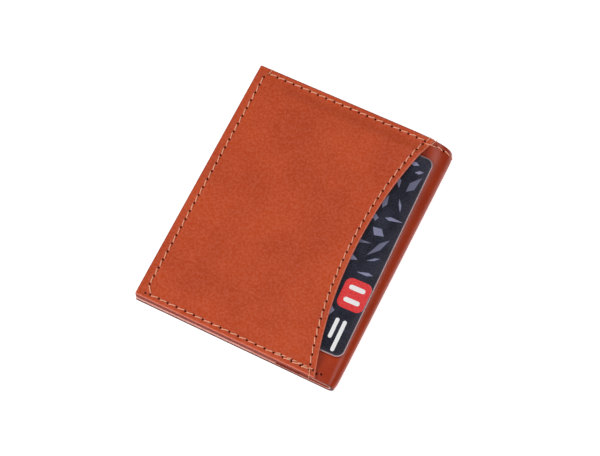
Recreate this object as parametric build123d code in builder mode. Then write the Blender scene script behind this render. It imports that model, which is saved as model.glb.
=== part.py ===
"""Vertical bifold wallet in sewn leather, with a card standing part-way out of its outer pocket.

The wallet lies closed and flat. +Z is up, +X points to the fold, +Y to the sewn far end, and the
bill compartment opens at the near end, -Y. The origin is the middle of the face it rests on.
The front half lies below and the back half above. Angles round the fold are counted from the
front cover, 0, to the back cover, 180 degrees.
"""

from build123d import *
import os
from math import cos, degrees, floor, radians, sin, sqrt

os.makedirs("parts", exist_ok=True)

# Driving dimensions, mm
closed_width = 83.0  # free edges to the outside of the fold
wallet_length = 104.4  # along the fold
fold_radius = 3.2  # outside of the half-round fold
shell_thickness = 1.1
bill_room = 0.15  # empty bill compartment, between a cover and its divider
divider_thickness = 0.4
divider_trim = 0.4  # the dividers stop short of the shell at the open near end
slot_thickness = 0.35
slot_count = 3
deepest_slot_reach = 68.0  # from the free edge to the mouth of the slot next to the divider
slot_step = 9.5
panel_thickness = 0.7
mouth_reach = 66.4  # from the free edge to the middle of the outer pocket's curved mouth
mouth_radius = 185.0
card_long, card_short, card_thickness, card_corner = 85.6, 53.98, 0.76, 3.18
card_play = 0.15  # above and below the card in its pocket
card_centre = (10.6, 0.5)
card_tilt = 1.8  # degrees, the card stands a little askew
chip_long, chip_short, chip_thickness, chip_corner = 12.0, 9.5, 0.1, 1.5
chip_from_end, chip_from_edge = 16.0, 24.0  # chip centre from the card's far end and outer edge
stitch_pitch = 3.7
stitch_length, stitch_width, stitch_height = 2.7, 0.5, 0.22
stitch_sunk = 0.02  # a stitch lies this far below the leather's face
groove_width, groove_depth = 0.8, 0.25  # pressed groove that a seam lies in
free_edge_inset = 3.3  # seam line from the free edge
end_inset = 2.1  # seam line from the near and far ends
mouth_inset = 2.3  # seam line from the pocket's mouth
rim_free, rim_end = 4.4, 3.2  # flat sewn rim of the outer pocket
rim_slope = 55.0  # degrees from upright, where the pocket rises over the card
hinge_count = 3  # bend lines that stand for the leather's fold
strip_gap = 0.04  # between the pieces of shell that meet at a bend line

# Worked out from them
free_x = -closed_width / 2
fold_x = closed_width / 2 - fold_radius
half_length = wallet_length / 2
closed_height = 2 * fold_radius
turn = 180 / hinge_count
bend_lines = [turn * (k + 0.5) for k in range(hinge_count)]
divider_radius = fold_radius - shell_thickness - bill_room
slot_base = fold_radius - divider_radius + divider_thickness
card_room = card_thickness + 2 * card_play
mouth_centre_x = free_x + mouth_reach + mouth_radius
crown_half_length = half_length - rim_end - 2 * card_room  # where the pocket stands at full height
far_beyond = closed_width  # any distance that clears the wallet


def fold_section(outer_radius, thickness, start, stop):
    """Cross-section of one layer round the fold between two angles, with its flat run if it has one."""
    centre = (fold_x, fold_radius)
    clear = degrees(strip_gap / 2 / outer_radius)
    first = start if start == 0 else start + clear
    last = stop if stop == 180 else stop - clear
    with BuildSketch(Plane.XZ.offset(-half_length)) as section:
        with BuildLine():
            outer = CenterArc(centre, outer_radius, first - 90, last - first)
            inner = CenterArc(centre, outer_radius - thickness, first - 90, last - first)
            if start == 0:
                low, high = outer @ 0, inner @ 0
                Polyline(low, (free_x, low.Y), (free_x, high.Y), high)
            else:
                Line(outer @ 0, inner @ 0)
            if stop == 180:
                low, high = inner @ 1, outer @ 1
                Polyline(low, (free_x, low.Y), (free_x, high.Y), high)
            else:
                Line(outer @ 1, inner @ 1)
        make_face()
    return section.sketch


def strip_edges():
    """Start and stop angles of the four stretches of each layer that crosses the fold."""
    marks = [0, *bend_lines, 180]
    return list(zip(marks[:-1], marks[1:]))


def mouth_x(y, inset=0.0):
    """X of the pocket's curved mouth, or of a line inset from it, at a place along the fold."""
    return mouth_centre_x - sqrt((mouth_radius + inset) ** 2 - y**2)


def mouth_arc(inset=0.0):
    """Arc along the pocket's mouth, from the near end to the far end."""
    ends = mouth_x(half_length, inset)
    return ThreePointArc((ends, -half_length), (mouth_x(0, inset), 0), (ends, half_length))


def straight_seam(start, stop, z, turned=0.0):
    """Places of the stitches along a straight seam between two points."""
    length = (Vector(*stop) - Vector(*start)).length
    count = floor(length / stitch_pitch)
    step = (Vector(*stop) - Vector(*start)) / count
    return [
        Location((start[0] + step.X * (k + 0.5), start[1] + step.Y * (k + 0.5), z), (0, 0, turned))
        for k in range(count)
    ]


def free_edge_seam(z):
    x = free_x + free_edge_inset
    end = half_length - end_inset
    return straight_seam((x, -end), (x, end), z, 90)


def end_seam(side, z, last_x):
    """Seam along the near (-1) or far (+1) end, from the free edge towards the fold."""
    y = side * (half_length - end_inset)
    return straight_seam((free_x + free_edge_inset, y), (last_x, y), z)


def mouth_seam(z):
    """Places of the stitches that follow the pocket's mouth."""
    count = floor(2 * crown_half_length / stitch_pitch)
    step = 2 * crown_half_length / count
    places = [step * (k + 0.5) - crown_half_length for k in range(count)]
    return [
        Location((mouth_x(y, mouth_inset), y, z), (0, 0, 90 - degrees(y / mouth_radius)))
        for y in places
    ]


def inner_seam(places, upper):
    """The inner side of a seam: stitches on the slot pockets, or on the divider beyond them."""
    lying = []
    for place in places:
        x, y = place.position.X, place.position.Y
        reach = x - free_x + stitch_length / 2 * (place.orientation.Z == 0)
        layers = sum(reach - stitch_length <= slot_reach(k) for k in range(slot_count))
        rise = slot_base + layers * slot_thickness + stitch_height / 2
        z = closed_height - rise if upper else rise
        lying.append(Location((x, y, z), (0, 0, place.orientation.Z)))
    return lying


def slot_reach(index):
    """From the free edge to the mouth of slot pocket 0, the deepest, up to slot_count - 1."""
    return deepest_slot_reach - index * slot_step


def free_edge_groove(z):
    """Size and centre of the groove box along the free edge."""
    return (groove_width, wallet_length - 2 * end_inset, groove_depth), (free_x + free_edge_inset, 0, z)


def end_groove(side, z, last_x):
    """Size and centre of the groove box along the near (-1) or far (+1) end."""
    first_x = free_x + free_edge_inset
    centre = ((first_x + last_x) / 2, side * (half_length - end_inset), z)
    return (last_x - first_x, groove_width, groove_depth), centre


def finish(part, label):
    part.label = label
    export_step(part, f"parts/{label}.step")


stretches = strip_edges()
nearward = (0, -1, 0)
groove_low = groove_depth / 2
stitch_low = stitch_height / 2 + stitch_sunk
panel_top = closed_height + panel_thickness
panel_end = mouth_x(half_length) - mouth_inset

# Shell of the front half, with the groove that its seams lie in
with BuildPart() as front_cover:
    extrude(fold_section(fold_radius, shell_thickness, *stretches[0]), wallet_length, dir=nearward)
    for size, centre in (free_edge_groove(groove_low), end_groove(1, groove_low, fold_x)):
        with Locations(centre):
            Box(*size, mode=Mode.SUBTRACT)
finish(front_cover.part, "front_cover")

with BuildPart() as back_cover:
    extrude(fold_section(fold_radius, shell_thickness, *stretches[-1]), wallet_length, dir=nearward)
finish(back_cover.part, "back_cover")

with BuildPart() as front_divider:
    profile = fold_section(divider_radius, divider_thickness, *stretches[0])
    extrude(profile, wallet_length - divider_trim, dir=nearward)
finish(front_divider.part, "front_divider")

with BuildPart() as back_divider:
    profile = fold_section(divider_radius, divider_thickness, *stretches[-1])
    extrude(profile, wallet_length - divider_trim, dir=nearward)
finish(back_divider.part, "back_divider")

# The fold: the shell and the divider go round it in strips, one between each two bend lines
for number, (start, stop) in enumerate(stretches[1:-1], 1):
    seam_y = half_length - end_inset
    stitch_turn = degrees(stitch_length / fold_radius)
    stitch_start = (start + stop) / 2 - 90 - stitch_turn / 2
    stitch_radius = fold_radius - stitch_sunk

    with BuildPart() as spine_shell:
        extrude(fold_section(fold_radius, shell_thickness, start, stop), wallet_length, dir=nearward)
        with BuildSketch(Plane.XZ.offset(-seam_y - groove_width / 2)):
            with Locations((fold_x, fold_radius)):
                Circle(2 * fold_radius)
                Circle(fold_radius - groove_depth, mode=Mode.SUBTRACT)
        extrude(amount=groove_width, mode=Mode.SUBTRACT)
    finish(spine_shell.part, f"spine_shell_{number}")

    with BuildPart() as spine_divider:
        profile = fold_section(divider_radius, divider_thickness, start, stop)
        extrude(profile, wallet_length - divider_trim, dir=nearward)
    finish(spine_divider.part, f"spine_divider_{number}")

    with BuildPart() as spine_seam:
        with BuildSketch(Plane.XZ.offset(-seam_y - stitch_width / 2)):
            with BuildLine():
                centre = (fold_x, fold_radius)
                outer = CenterArc(centre, stitch_radius, stitch_start, stitch_turn)
                inner = CenterArc(centre, stitch_radius - stitch_height, stitch_start, stitch_turn)
                Line(outer @ 0, inner @ 0)
                Line(outer @ 1, inner @ 1)
            make_face()
        extrude(amount=stitch_width)
    finish(spine_seam.part, f"spine_seam_{number}")

# Card slots inside each half, stacked on the divider and stepped towards the fold
slot_length = wallet_length - divider_trim
slot_middle = divider_trim / 2
for index in range(slot_count):
    reach = slot_reach(index)
    low = slot_base + index * slot_thickness

    with BuildPart() as front_slot:
        with BuildSketch(Plane.XY.offset(low)):
            with Locations((free_x + reach / 2, slot_middle)):
                Rectangle(reach, slot_length)
        extrude(amount=slot_thickness)
    finish(front_slot.part, f"front_slot_pocket_{index + 1}")

    with BuildPart() as back_slot:
        with BuildSketch(Plane.XY.offset(closed_height - low)):
            with Locations((free_x + reach / 2, slot_middle)):
                Rectangle(reach, slot_length)
        extrude(amount=-slot_thickness)
    finish(back_slot.part, f"back_slot_pocket_{index + 1}")

# Outer pocket: a sewn rim, a crown that leaves room for the card, and a concave mouth
with BuildPart() as pocket_panel:
    rim_width = mouth_x(half_length) - free_x
    with BuildSketch(Plane.XY.offset(closed_height)):
        with Locations((free_x + rim_width / 2, 0)):
            Rectangle(rim_width, wallet_length)
    extrude(amount=panel_thickness)
    with BuildSketch(Plane.XY.offset(panel_top)):
        with Locations((free_x + rim_free + far_beyond / 2, 0)):
            Rectangle(far_beyond, wallet_length - 2 * rim_end)
    extrude(amount=card_room, taper=rim_slope)
    with BuildSketch(Plane.XY.offset(closed_height)):
        with Locations((free_x + rim_free + far_beyond, 0)):
            Rectangle(2 * far_beyond, wallet_length - 2 * rim_end)
    extrude(amount=card_room, taper=rim_slope, mode=Mode.SUBTRACT)
    with BuildSketch(Plane.XY.offset(closed_height)):
        with BuildLine():
            mouth = mouth_arc()
            Polyline(
                mouth @ 0,
                (mouth_centre_x, -half_length),
                (mouth_centre_x, half_length),
                mouth @ 1,
            )
        make_face()
    extrude(amount=far_beyond, mode=Mode.SUBTRACT)
    rim_groove = panel_top - groove_low
    grooves = [end_groove(side, rim_groove, panel_end) for side in (-1, 1)]
    for size, centre in (free_edge_groove(rim_groove), *grooves):
        with Locations(centre):
            Box(*size, mode=Mode.SUBTRACT)
    with BuildSketch(Plane.XY.offset(panel_top + card_room - groove_depth)):
        with BuildLine():
            outer = mouth_arc(mouth_inset + groove_width / 2)
            inner = mouth_arc(mouth_inset - groove_width / 2)
            Line(outer @ 0, inner @ 0)
            Line(outer @ 1, inner @ 1)
        make_face()
        with Locations((mouth_x(half_length), 0)):
            Rectangle(far_beyond, 2 * crown_half_length, mode=Mode.INTERSECT)
    extrude(amount=groove_depth, mode=Mode.SUBTRACT)
finish(pocket_panel.part, "pocket_panel")

# Seams. Each is the row of stitches that shows on the outside, then the one inside the wallet
front_free = free_edge_seam(stitch_low)
front_far = end_seam(1, stitch_low, fold_x)
back_top = panel_top - stitch_low
back_free = free_edge_seam(back_top)
back_far = end_seam(1, back_top, panel_end)
slot_near = end_seam(-1, 0, free_x + deepest_slot_reach)
slot_near = [Location((s.position.X, s.position.Y + divider_trim, 0)) for s in slot_near]
seams = {
    "front_free_edge_seam": front_free + inner_seam(front_free, False),
    "front_far_end_seam": front_far + inner_seam(front_far, False),
    "front_slot_near_seam": inner_seam(slot_near, False),
    "back_free_edge_seam": back_free + inner_seam(back_free, True),
    "back_far_end_seam": back_far + inner_seam(back_far, True),
    "back_slot_near_seam": inner_seam(slot_near, True),
    "pocket_near_seam": end_seam(-1, back_top, panel_end),
    "pocket_mouth_seam": mouth_seam(back_top + card_room),
}
for label, places in seams.items():
    with BuildPart() as seam:
        with Locations(*places):
            Box(stitch_length, stitch_width, stitch_height)
    finish(seam.part, label)

# The card and its contact plate
card_low = closed_height + card_play
card_plane = Plane(
    origin=(*card_centre, card_low),
    x_dir=(cos(radians(card_tilt)), sin(radians(card_tilt)), 0),
    z_dir=(0, 0, 1),
)
chip_place = (card_short / 2 - chip_from_edge, card_long / 2 - chip_from_end)
chip_plane = card_plane.offset(card_thickness - chip_thickness)

with BuildPart() as card:
    with BuildSketch(card_plane):
        RectangleRounded(card_short, card_long, card_corner)
    extrude(amount=card_thickness)
    with BuildSketch(chip_plane):
        with Locations(chip_place):
            RectangleRounded(chip_short, chip_long, chip_corner)
    extrude(amount=chip_thickness, mode=Mode.SUBTRACT)
finish(card.part, "card")

with BuildPart() as card_chip:
    with BuildSketch(chip_plane):
        with Locations(chip_place):
            RectangleRounded(chip_short, chip_long, chip_corner)
    extrude(amount=chip_thickness)
finish(card_chip.part, "card_chip")
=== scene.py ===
"""Looks of a closed bifold leather wallet with a card in its outer pocket.

Lengths are in millimetres until make_mesh() turns them into metres. Each leather piece is cut flat,
as an outline in (s, y): s runs along the leather from the front half's free edge, round the fold, to
the back half's free edge, and y runs along the fold. lay() then wraps it round the closed wallet.
A depth is measured from the outer face of the shell towards the inside of the wallet.
"""
import math
import random

import bmesh
import bpy
import numpy as np
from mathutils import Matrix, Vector
from mathutils.geometry import delaunay_2d_cdt

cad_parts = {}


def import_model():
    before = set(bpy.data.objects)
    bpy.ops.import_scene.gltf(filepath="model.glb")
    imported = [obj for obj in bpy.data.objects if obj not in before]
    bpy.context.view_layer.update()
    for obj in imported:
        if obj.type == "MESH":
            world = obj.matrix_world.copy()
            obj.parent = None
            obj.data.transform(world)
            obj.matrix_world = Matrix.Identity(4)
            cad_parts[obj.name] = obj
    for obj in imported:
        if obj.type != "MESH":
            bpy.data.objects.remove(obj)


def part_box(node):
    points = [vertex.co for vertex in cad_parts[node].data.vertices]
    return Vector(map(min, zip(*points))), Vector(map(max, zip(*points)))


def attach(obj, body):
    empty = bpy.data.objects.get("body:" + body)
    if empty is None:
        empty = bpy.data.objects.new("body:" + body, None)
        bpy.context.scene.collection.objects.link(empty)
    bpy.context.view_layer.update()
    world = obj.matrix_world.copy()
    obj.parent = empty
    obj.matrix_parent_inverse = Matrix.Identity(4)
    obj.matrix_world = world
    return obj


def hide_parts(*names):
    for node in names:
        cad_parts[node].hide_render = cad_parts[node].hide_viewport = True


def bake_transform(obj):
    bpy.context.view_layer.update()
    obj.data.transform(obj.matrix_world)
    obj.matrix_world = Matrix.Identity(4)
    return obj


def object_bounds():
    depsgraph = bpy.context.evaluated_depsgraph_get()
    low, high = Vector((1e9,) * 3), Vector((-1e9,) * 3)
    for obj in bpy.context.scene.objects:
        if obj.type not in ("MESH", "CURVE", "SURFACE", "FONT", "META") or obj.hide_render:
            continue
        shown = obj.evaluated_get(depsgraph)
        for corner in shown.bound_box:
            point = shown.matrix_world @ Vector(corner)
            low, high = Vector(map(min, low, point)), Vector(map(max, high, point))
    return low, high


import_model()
cad_low, cad_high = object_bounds()
MM = 0.001

# -------- sizes, from the frame where it has them


def mm_box(node):
    """The low and high corner of a CAD node in millimetres."""
    low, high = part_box(node)
    return np.array(low) / MM, np.array(high) / MM


FREE_X, NEAR_Y, FAR_Y = cad_low.x / MM, cad_low.y / MM, cad_high.y / MM
LENGTH = FAR_Y - NEAR_Y
CLOSED_HEIGHT = mm_box("pocket_panel")[0][2]
FOLD_RADIUS = CLOSED_HEIGHT / 2
HALF_FLAT = cad_high.x / MM - FOLD_RADIUS - FREE_X  # flat leather of one half, up to the fold
FOLD_ROUND = math.pi * FOLD_RADIUS
TOTAL = 2 * HALF_FLAT + FOLD_ROUND
SPLITS = [HALF_FLAT + FOLD_ROUND * share for share in (1 / 3, 2 / 3)]  # midway between the bend lines

SHELL, PANEL = 1.1, 0.7  # thickness of the leather
SHELL_BEVEL, PANEL_BEVEL, DIVIDER_BEVEL, SLOT_BEVEL = 0.3, 0.34, 0.08, 0.06
DIVIDER = CLOSED_HEIGHT - mm_box("back_divider")[1][2], CLOSED_HEIGHT - mm_box("back_slot_pocket_1")[1][2]
SLOT_BOXES = [mm_box(f"back_slot_pocket_{k}") for k in (1, 2, 3)]
SLOT_REACH = [high[0] - low[0] for low, high in SLOT_BOXES]
SLOT_DEPTH = [(CLOSED_HEIGHT - high[2], CLOSED_HEIGHT - low[2]) for low, high in SLOT_BOXES]
INNER_NEAR_Y = NEAR_Y + 0.15
MOUTH_REACH, MOUTH_RADIUS, MOUTH_MIDDLE = 66.2, 172.0, 1.5  # the outer pocket's concave mouth

# How the leather stands away from the plain CAD shape
FAR_REACH, FAR_RISE = 8.8, 5.4  # half-width and half-height of the fold at its far end, where it is fuller
REACH_GROWTH = 0.8  # below 1, the fold's half-width grows faster near the near end
TIP_FAR, TIP_NEAR, TIP_RUN = 1.1, 0.5, 4.0  # the fold's ends are drawn in
SHOULDER, SHOULDER_RUN = 0.45, 9.0  # the back half dips a little before the fold
INNER_RISE = 1.6  # how much of the far end's lift the inner layers follow
CROWN, FAR_CROWN = 1.06, 0.55  # room for the card under the outer pocket, and how much more at the far end
CROWN_START, CROWN_RUN = 3.9, 14.0  # from the free edge
CROWN_END_START, CROWN_END_RUN = 2.9, 6.2  # from the near and far ends
MOUTH_FLARE, MOUTH_FLARE_RUN = 0.25, 9.0  # the mouth gapes a little more in the middle of its length
MOUTH_FLARE_START, MOUTH_FLARE_GROWTH = 8.0, 20.0  # from the near and far ends

# Seams: distances from the edges, and the holes' spacing
FREE_INSET, END_INSET, MOUTH_INSET = 3.3, 2.1, 2.3
NEAR_PITCH, FREE_PITCH, FAR_PITCH, MOUTH_PITCH = 3.7, 3.67, 3.4, 3.45
HOLE_RADIUS, HOLE_DEPTH = 0.38, 0.42
DISH_DEPTH, DISH_RADIUS = 0.06, 0.9  # the leather pulled in round a hole
GROOVE_DEPTH, GROOVE_RADIUS = 0.07, 0.45  # the line a seam or a crease presses into the leather
THREAD_RADIUS = 0.21

CARD_LOW, CARD_HIGH = mm_box("card")
CARD_CENTRE = (CARD_LOW + CARD_HIGH)[:2] / 2
CARD_TILT = math.radians(1.8)
CARD_LONG, CARD_SHORT, CARD_THICKNESS, CARD_CORNER = 85.6, 53.98, 0.76, 3.18
CARD_PLAY = CARD_LOW[2] - CLOSED_HEIGHT

dice = random.Random(7)

# -------- the wallet's shape


def smooth(t):
    t = np.clip(t, 0, 1)
    return t * t * (3 - 2 * t)


def fold_shape(y):
    """The share of the way to the far end, and the fold's half-width, half-height, length and start."""
    y = np.asarray(y, float)
    share = np.clip((y - NEAR_Y) / LENGTH, 0, 1)
    reach = FOLD_RADIUS + (FAR_REACH - FOLD_RADIUS) * share**REACH_GROWTH
    rise = FOLD_RADIUS + (FAR_RISE - FOLD_RADIUS) * share
    root = np.sqrt((3 * reach + rise) * (reach + 3 * rise))
    around = math.pi / 2 * (3 * (reach + rise) - root)  # Ramanujan's half ellipse
    reach = reach - TIP_FAR * np.clip((y - FAR_Y) / TIP_RUN + 1, 0, 1) ** 2
    reach = reach - TIP_NEAR * np.clip((NEAR_Y - y) / TIP_RUN + 1, 0, 1) ** 2
    return share, reach, rise, around, HALF_FLAT + (FOLD_ROUND - around) / 2


def back_height(e, y):
    """Height of the back half's outer face at a distance e from the free edge."""
    _, _, rise, _, start = fold_shape(y)
    return CLOSED_HEIGHT + 2 * (rise - FOLD_RADIUS) * e / start


def sag(s, y):
    """How far the inner layers hang away from the back cover, where the fold lifts it."""
    share, _, rise, around, start = fold_shape(y)
    past = 1 - np.maximum(s - start - around, 0) / start
    return (2 * (rise - FOLD_RADIUS) - INNER_RISE * share) * smooth((s - start) / around) * past


def lay(s, y, depth):
    """Points of the closed wallet from flat leather coordinates."""
    s, y, depth = (np.asarray(a, float) for a in (s, y, depth))
    depth = depth + np.where(depth > SHELL, sag(s, y), 0)
    _, reach, rise, around, start = fold_shape(y)
    turn = np.clip((s - start) / around, 0, 1)
    phi = math.pi * turn - (reach - rise) / (2 * (reach + rise)) * np.sin(2 * math.pi * turn)
    past = np.maximum(s - start - around, 0)
    x = FREE_X + start + reach * np.sin(phi) + np.minimum(s - start, 0) - past
    z = rise * (1 - np.cos(phi)) - 2 * (rise - FOLD_RADIUS) * past / start
    z = z - SHOULDER * smooth(1 - past / SHOULDER_RUN) * smooth(turn)
    inward = np.stack([-rise * np.sin(phi), reach * np.cos(phi)])
    inward = inward / np.linalg.norm(inward, axis=0)
    return np.stack([x + inward[0] * depth, y, z + inward[1] * depth], axis=-1)


def lay_back(e, y, depth):
    """The same from a distance e measured from the back half's free edge."""
    return lay(TOTAL - np.asarray(e, float), y, depth)


def mouth(y, inset=0.0):
    """Distance from the free edge to the outer pocket's mouth, or to a line inset from it."""
    y = np.asarray(y, float)
    return MOUTH_REACH + MOUTH_RADIUS - np.sqrt((MOUTH_RADIUS + inset) ** 2 - (y - MOUTH_MIDDLE) ** 2)


def crown(e, y):
    """How far the outer pocket stands off the cover: sewn down at its edges, raised over the card."""
    y = np.asarray(y, float)
    from_end = LENGTH / 2 - np.abs(y)
    raised = smooth((e - CROWN_START) / CROWN_RUN) * smooth((from_end - CROWN_END_START) / CROWN_END_RUN)
    gape = smooth((from_end - MOUTH_FLARE_START) / MOUTH_FLARE_GROWTH)
    near_mouth = smooth(1 - (mouth(y) - e) / MOUTH_FLARE_RUN) * gape
    share = (y - NEAR_Y) / LENGTH
    return (CROWN + FAR_CROWN * share + MOUTH_FLARE * near_mouth) * raised


def panel_top(e, y):
    return -crown(e, y) - PANEL


def lining_depth(e):
    """Depth of the face that shows inside the wallet at a distance e from a free edge."""
    covered = [depth[1] for reach, depth in zip(SLOT_REACH, SLOT_DEPTH) if e <= reach]
    return max(covered, default=DIVIDER[1])


# -------- meshes


def make_mesh(name, points, faces, material, attributes=None, sharp_over=50):
    """A smooth-shaded piece from points in millimetres, with float or vector attributes on its points."""
    mesh = bpy.data.meshes.new(name)
    mesh.from_pydata((np.asarray(points) * MM).tolist(), [], faces)
    for key, values in (attributes or {}).items():
        values = np.asarray(values, np.float32)
        kind, field = ("FLOAT_VECTOR", "vector") if values.ndim == 2 else ("FLOAT", "value")
        mesh.attributes.new(key, kind, "POINT").data.foreach_set(field, values.ravel())
    work = bmesh.new()
    work.from_mesh(mesh)
    bmesh.ops.recalc_face_normals(work, faces=work.faces)
    work.to_mesh(mesh)
    work.free()
    mesh.polygons.foreach_set("use_smooth", [True] * len(mesh.polygons))
    mesh.set_sharp_from_angle(angle=math.radians(sharp_over))
    mesh.materials.append(material)
    piece = bpy.data.objects.new(name, mesh)
    bpy.context.scene.collection.objects.link(piece)
    return piece


def nearest(points, targets):
    """Distance from each point to the nearest target."""
    if not len(targets):
        return np.full(len(points), 1e3)
    gaps = points[:, None, :] - np.asarray(targets)[None, :, :]
    return np.sqrt((gaps**2).sum(-1).min(1))


def inside(points, loop):
    """Which points lie inside a closed loop."""
    x, y = points[:, 0, None], points[:, 1, None]
    x0, y0 = loop[:, 0][None], loop[:, 1][None]
    x1, y1 = np.roll(loop[:, 0], -1)[None], np.roll(loop[:, 1], -1)[None]
    crosses = (y0 > y) != (y1 > y)
    with np.errstate(divide="ignore", invalid="ignore"):
        at = x0 + (y - y0) * (x1 - x0) / (y1 - y0)
    return (np.where(crosses, x < at, False).sum(1) % 2) == 1


def span(start, stop, step):
    """Even marks from start up to, but without, stop."""
    count = max(1, math.ceil(abs(stop - start) / step))
    return start + (stop - start) * np.arange(count) / count


def inset_directions(loop, worked):
    """For each corner of a loop, the way in from the worked edges that meet there."""
    ahead = np.roll(loop, -1, 0) - loop
    inward = np.stack([-ahead[:, 1], ahead[:, 0]], 1) / np.linalg.norm(ahead, axis=1)[:, None]
    before, worked_before = np.roll(inward, 1, 0), np.roll(worked, 1)
    mitre = (before + inward) / (1 + (before * inward).sum(1))[:, None]
    ways = np.where(worked_before[:, None], before, 0) + np.where(worked[:, None], inward, 0)
    return np.where((worked & worked_before)[:, None], mitre, ways)


def hole_rings(holes):
    """Points round each needle hole, close enough together to give it a round rim."""
    marks = [(0, 1), (0.45, 6), (0.9, 10), (1.35, 10), (2.1, 10)]
    rings = []
    for share, count in marks:
        turns = 2 * math.pi * (np.arange(count) + (share > 1) * 0.5) / count
        ring = share * HOLE_RADIUS * np.stack([np.cos(turns), np.sin(turns)], 1)
        rings.append((np.asarray(holes)[:, None, :] + ring[None]).reshape(-1, 2))
    return np.concatenate(rings)


def triangles(loop, loose):
    """Triangles over the loop's points followed by the loose points inside it."""
    every = np.concatenate([loop, loose]) if len(loose) else loop
    ring = list(range(len(loop)))
    made = delaunay_2d_cdt([Vector(p) for p in every], [], [ring], 1, 1e-5)
    source = [origins[0] for origins in made[3]]
    return [[source[i] for i in face] for face in made[2]]


class Face:
    """One side of a leather piece: its needle holes and the lines pressed into it."""

    def __init__(self, holes=(), lines=()):
        self.holes = np.asarray(holes, float).reshape(-1, 2)
        self.lines = np.asarray(lines, float).reshape(-1, 2)

    def press(self, points):
        """How deep the face is pressed in at each point."""
        pit = HOLE_DEPTH * np.exp(-((nearest(points, self.holes) / HOLE_RADIUS) ** 2.4))
        dish = DISH_DEPTH * np.exp(-((nearest(points, self.holes) / DISH_RADIUS) ** 2))
        groove = GROOVE_DEPTH * np.exp(-((nearest(points, self.lines) / GROOVE_RADIUS) ** 2))
        return pit + dish + groove


def seam_lines(holes, gap=4.5):
    """Points along the straight stretches between neighbouring holes."""
    made = []
    for a, b in zip(holes[:-1], holes[1:]):
        if np.hypot(*(np.array(b) - a)) < gap:
            made += [np.array(a) + (np.array(b) - a) * t for t in (0, 0.2, 0.4, 0.6, 0.8)]
    return made


def all_seam_lines(rows):
    """The same for several rows of holes."""
    return [point for holes in rows for point in seam_lines(holes)]


def side_points(loop, rim, face, columns, rows):
    """Loose points for one side: holes first, then seam rows, then the grid, none too close together."""
    kept = hole_rings(face.holes) if len(face.holes) else np.zeros((0, 2))
    if len(face.lines):
        around = [face.lines + np.array(shift) for shift in ((0, 0.5), (0, -0.5), (0.5, 0), (-0.5, 0))]
        beside = np.concatenate([face.lines, *around])
        beside = beside[nearest(beside, face.holes) > 2.6 * HOLE_RADIUS]
        beside = beside[np.unique(np.round(beside / 0.45), axis=0, return_index=True)[1]]
        kept = np.concatenate([kept, beside])
    grid = np.array([(u, v) for u in columns for v in rows])
    if len(kept):
        busy = np.concatenate([face.holes, face.lines])
        grid = grid[nearest(grid, busy) > 1.1]
    kept = np.concatenate([kept, grid])
    kept = kept[inside(kept, loop)]
    kept = kept[nearest(kept, np.concatenate([loop, rim])) > 0.3]
    return np.concatenate([rim, kept])


EDGE_STEPS = 6


def sheet(name, loop, worked, depths, bevel, material, grid, place=lay, outer=None, inner=None, wear_and_light=None,
          cut_light=None, rim_width=0.55):
    """A piece of leather or card with worked edges: flat outline in, solid piece in place out.

    worked says which edges are finished, and only those are bevelled. The rim-wear function gives, from flat
    points, how strongly the rim takes the edge colour as real wear and as painted highlight and shade, and
    the cut-edge function how lit the cut edge is painted, from the material's shaded cut colour to its lit
    one.
    """
    outer, inner = outer or Face(), inner or Face()
    loop, worked = np.asarray(loop, float), np.asarray(worked)
    ways = inset_directions(loop, worked)
    low, high = depths
    rings, ring_depths, edge = [], [], []
    for step in range(EDGE_STEPS + 1):
        angle = math.pi * step / EDGE_STEPS
        rings.append(loop + ways * bevel * (1 - math.sin(angle)))
        ring_depths.append(np.full(len(loop), low + (high - low) * (1 - math.cos(angle)) / 2))
        edge.append(np.full(len(loop), max(math.sin(angle), 0) ** 0.5))
    columns, rows = grid
    sides = []
    rim = (loop + ways * (bevel + 0.3))[worked | np.roll(worked, 1)]
    for face, ring, level in ((outer, rings[0], low), (inner, rings[-1], high)):
        loose = side_points(ring, rim[nearest(rim, ring) > 0.2], face, columns, rows)
        way_in = 1 if level == low else -1
        sides.append((loose, level + way_in * face.press(loose), triangles(ring, loose)))
    (outer_loose, outer_depth, outer_faces), (inner_loose, inner_depth, inner_faces) = sides
    count = len(loop)
    flat = np.concatenate([*rings, outer_loose, inner_loose])
    depth = np.concatenate([*ring_depths, outer_depth, inner_depth])
    ring_total = count * (EDGE_STEPS + 1)
    faces = []
    for step in range(EDGE_STEPS):
        for k in range(count):
            a, b = step * count + k, step * count + (k + 1) % count
            faces.append([a, b, b + count, a + count])
    for tri in outer_faces:
        faces.append([i if i < count else ring_total + i - count for i in tri])
    last, first_inner = count * EDGE_STEPS, ring_total + len(outer_loose)
    for tri in inner_faces:
        faces.append([last + i if i < count else first_inner + i - count for i in tri])
    border = loop[worked | np.roll(worked, 1)]
    # Painted rim: real wear and painted highlight and shade near the worked edges, in the material's edge
    # colour.
    rim_wear_and_light = np.exp(-((nearest(flat, border) / rim_width) ** 2)) if len(border) else np.zeros(len(flat))
    rim_wear_and_light *= wear_and_light(flat) if wear_and_light else 0.35
    cut = np.concatenate([*edge, np.zeros(len(outer_loose) + len(inner_loose))])
    # Mask of the needle holes, which the leather paints dark as shade.
    hole = np.zeros(len(flat))
    for face, first, loose in ((outer, ring_total, outer_loose), (inner, first_inner, inner_loose)):
        reach = nearest(loose, face.holes)
        hole[first:first + len(loose)] = np.exp(-((reach / (1.15 * HOLE_RADIUS)) ** 4))
    attributes = {
        "flat": np.column_stack([flat, depth]),
        "cut": cut if len(border) else cut * 0,
        "rim_wear_and_light": rim_wear_and_light,
        "hole": hole,
        "cut_light": cut_light(flat) if cut_light else np.ones(len(flat)),
    }
    return make_mesh(name, place(flat[:, 0], flat[:, 1], depth), faces, material, attributes)


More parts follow.
